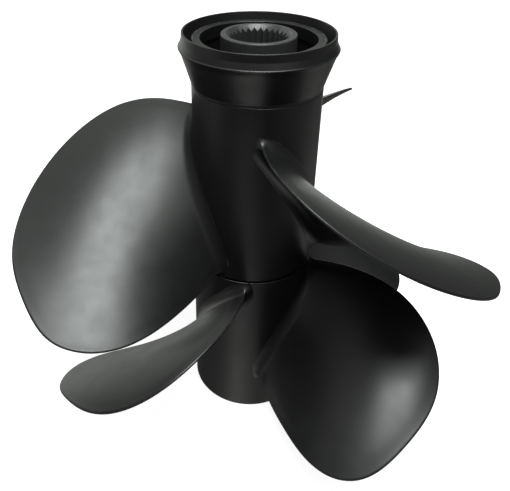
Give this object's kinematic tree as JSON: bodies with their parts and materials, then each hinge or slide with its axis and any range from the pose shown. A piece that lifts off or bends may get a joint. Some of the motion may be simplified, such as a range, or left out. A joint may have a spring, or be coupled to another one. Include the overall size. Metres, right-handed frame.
{
  "type": "contra-rotating boat propeller set",
  "caption": "Contra-rotating stern-drive propeller set: two opposite-handed through-hub exhaust propellers on one axis, with a flared front ring and rubber-bushed splined sleeves.",
  "frame": {"origin": "on the shaft axis, in the plane of the rear hub's aft end face, which the set stands on", "axes": "+Z along the shaft towards the boat (front propeller and flare ring up), X and Y in the plane of rotation"},
  "size_m": [0.3595, 0.345, 0.3273],
  "materials": {
    "black_paint": "satin",
    "sleeve_black": "satin",
    "shell_brass": "satin",
    "bush_rubber": "matte"
  },
  "bodies": {
    "rear_propeller": {"rear_hub": "black_paint", "rear_blade_1": "black_paint", "rear_blade_2": "black_paint", "rear_blade_3": "black_paint", "rear_blade_4": "black_paint", "rear_bush_shell": "shell_brass", "rear_rubber_bush": "bush_rubber"},
    "rear_sleeve": {"rear_splined_sleeve": "sleeve_black"},
    "front_propeller": {"front_hub": "black_paint", "front_blade_1": "black_paint", "front_blade_2": "black_paint", "front_blade_3": "black_paint", "front_flare_ring": "black_paint", "front_bush_shell": "shell_brass", "front_rubber_bush": "bush_rubber"},
    "front_sleeve": {"front_splined_sleeve": "sleeve_black"}
  },
  "joints": [
    {"name": "front_propeller_spin", "type": "hinge", "parent": "rear_propeller", "child": "front_propeller", "pos_m": [0, 0, 0.23], "axis": [0, 0, 1], "continuous": true},
    {"name": "front_bush_twist", "type": "hinge", "parent": "front_propeller", "child": "front_sleeve", "pos_m": [0, 0, 0.25], "axis": [0, 0, 1], "range_deg": [-8, 8], "stiffness_Nm_per_rad": 40},
    {"name": "rear_bush_twist", "type": "hinge", "parent": "rear_propeller", "child": "rear_sleeve", "pos_m": [0, 0, 0.08], "axis": [0, 0, 1], "range_deg": [-8, 8], "stiffness_Nm_per_rad": 40}
  ]
}
